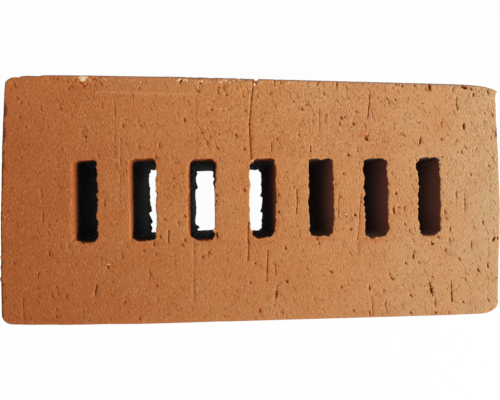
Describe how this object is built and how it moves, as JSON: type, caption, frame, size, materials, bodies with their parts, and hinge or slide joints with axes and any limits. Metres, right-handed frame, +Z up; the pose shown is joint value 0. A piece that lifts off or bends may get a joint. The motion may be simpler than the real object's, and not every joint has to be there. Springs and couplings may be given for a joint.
{
  "type": "clay brick",
  "caption": "Fired clay facing brick with a row of slots from bed to bed, rounded corners and arrises, laid flat in mortar courses.",
  "frame": {"origin": "middle of the lower bed face, at the centre of the brick's box", "axes": "+X along the length, towards the end with the slumped corner; +Y across the width, towards the slumped corner's side; +Z up the height, along the slots"},
  "size_m": [0.25, 0.12, 0.065],
  "materials": {
    "fired_clay": "matt fired clay, orange with small dark pits, drag marks and lime grains, paler towards one end"
  },
  "bodies": {
    "root": {"brick": "fired_clay"}
  },
  "joints": []
}
